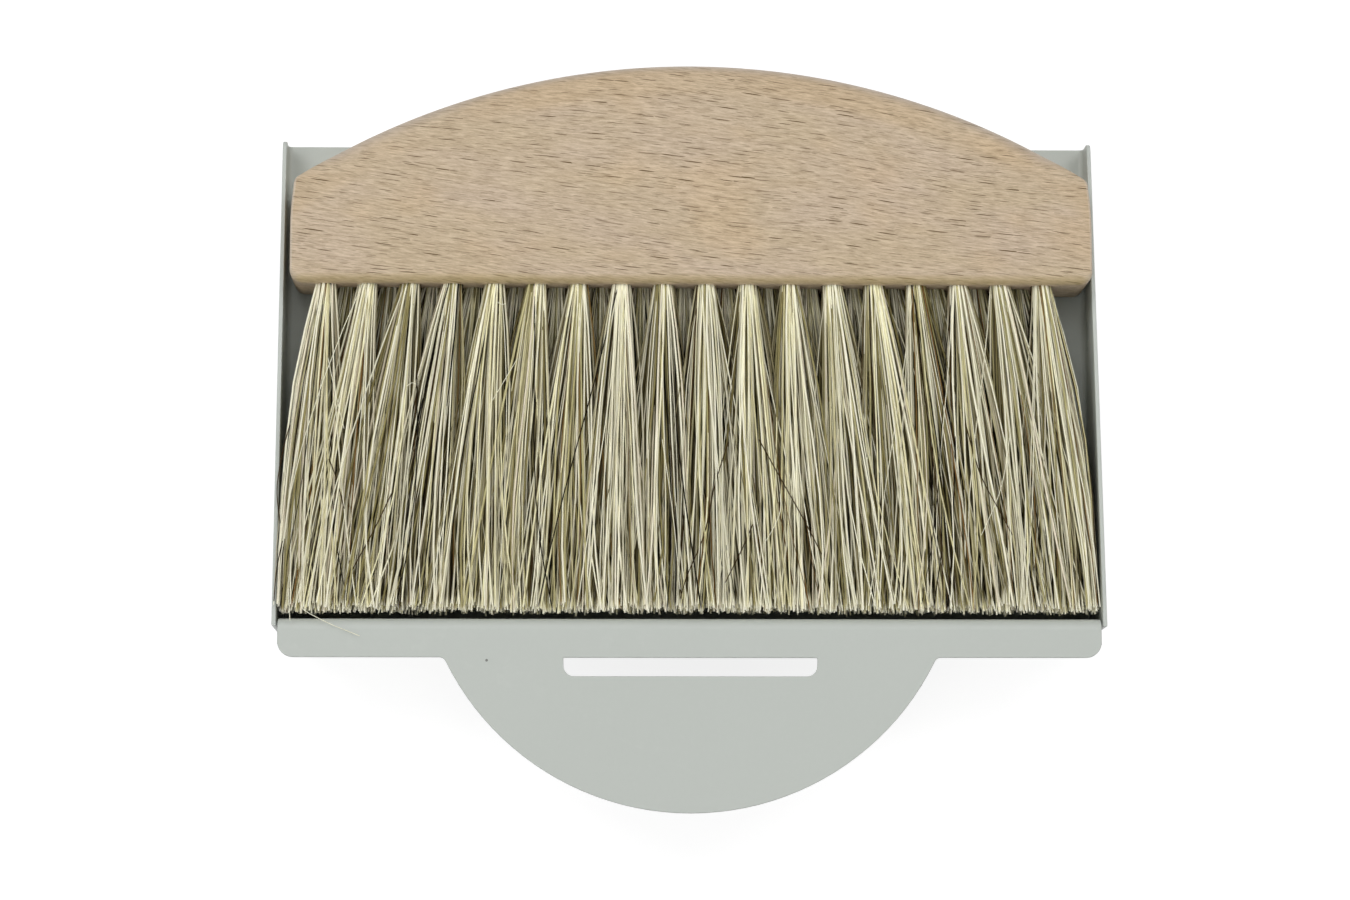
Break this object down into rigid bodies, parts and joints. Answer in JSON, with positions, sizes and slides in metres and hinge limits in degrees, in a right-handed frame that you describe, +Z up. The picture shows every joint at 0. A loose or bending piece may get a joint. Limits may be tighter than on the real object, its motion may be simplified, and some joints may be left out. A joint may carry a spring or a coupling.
{
  "type": "dustpan and brush",
  "caption": "Folded sheet-steel dustpan with a half-disc handle and a hanging slot, and a bow-backed wooden hand brush that lies in the pan and lifts off.",
  "frame": {"origin": "middle of the object's footprint, on the surface that the pan stands on", "axes": "+X along the pan's mouth, to the right as seen from the handle; +Y from the handle to the mouth; +Z up out of the pan"},
  "size_m": [0.24, 0.2202, 0.0321],
  "materials": {
    "coated_steel": "matte",
    "beech": "matte",
    "bristle": "matte",
    "magnet": "satin",
    "anchor_wire": "satin"
  },
  "bodies": {
    "pan": {"pan_tray": "coated_steel"},
    "brush": {"brush_block": "beech", "bristle_row_front": "bristle", "bristle_row_middle": "bristle", "bristle_row_back": "bristle", "magnet_left": "magnet", "magnet_right": "magnet", "anchor_front_01": "anchor_wire", "anchor_front_02": "anchor_wire", "anchor_front_03": "anchor_wire", "anchor_front_04": "anchor_wire", "anchor_front_05": "anchor_wire", "anchor_front_06": "anchor_wire", "anchor_front_07": "anchor_wire", "anchor_front_08": "anchor_wire", "anchor_front_09": "anchor_wire", "anchor_front_10": "anchor_wire", "anchor_front_11": "anchor_wire", "anchor_front_12": "anchor_wire", "anchor_front_13": "anchor_wire", "anchor_front_14": "anchor_wire", "anchor_front_15": "anchor_wire", "anchor_front_16": "anchor_wire", "anchor_front_17": "anchor_wire", "anchor_front_18": "anchor_wire", "anchor_middle_01": "anchor_wire", "anchor_middle_02": "anchor_wire", "anchor_middle_03": "anchor_wire", "anchor_middle_04": "anchor_wire", "anchor_middle_05": "anchor_wire", "anchor_middle_06": "anchor_wire", "anchor_middle_07": "anchor_wire", "anchor_middle_08": "anchor_wire", "anchor_middle_09": "anchor_wire", "anchor_middle_10": "anchor_wire", "anchor_middle_11": "anchor_wire", "anchor_middle_12": "anchor_wire", "anchor_middle_13": "anchor_wire", "anchor_middle_14": "anchor_wire", "anchor_middle_15": "anchor_wire", "anchor_middle_16": "anchor_wire", "anchor_middle_17": "anchor_wire", "anchor_back_01": "anchor_wire", "anchor_back_02": "anchor_wire", "anchor_back_03": "anchor_wire", "anchor_back_04": "anchor_wire", "anchor_back_05": "anchor_wire", "anchor_back_06": "anchor_wire", "anchor_back_07": "anchor_wire", "anchor_back_08": "anchor_wire", "anchor_back_09": "anchor_wire", "anchor_back_10": "anchor_wire", "anchor_back_11": "anchor_wire", "anchor_back_12": "anchor_wire", "anchor_back_13": "anchor_wire", "anchor_back_14": "anchor_wire", "anchor_back_15": "anchor_wire", "anchor_back_16": "anchor_wire", "anchor_back_17": "anchor_wire", "anchor_back_18": "anchor_wire"}
  },
  "joints": [
    {"name": "brush_lift", "type": "slide", "parent": "pan", "child": "brush", "axis": [0, 0, 1], "range_m": [0, 0.06]}
  ]
}
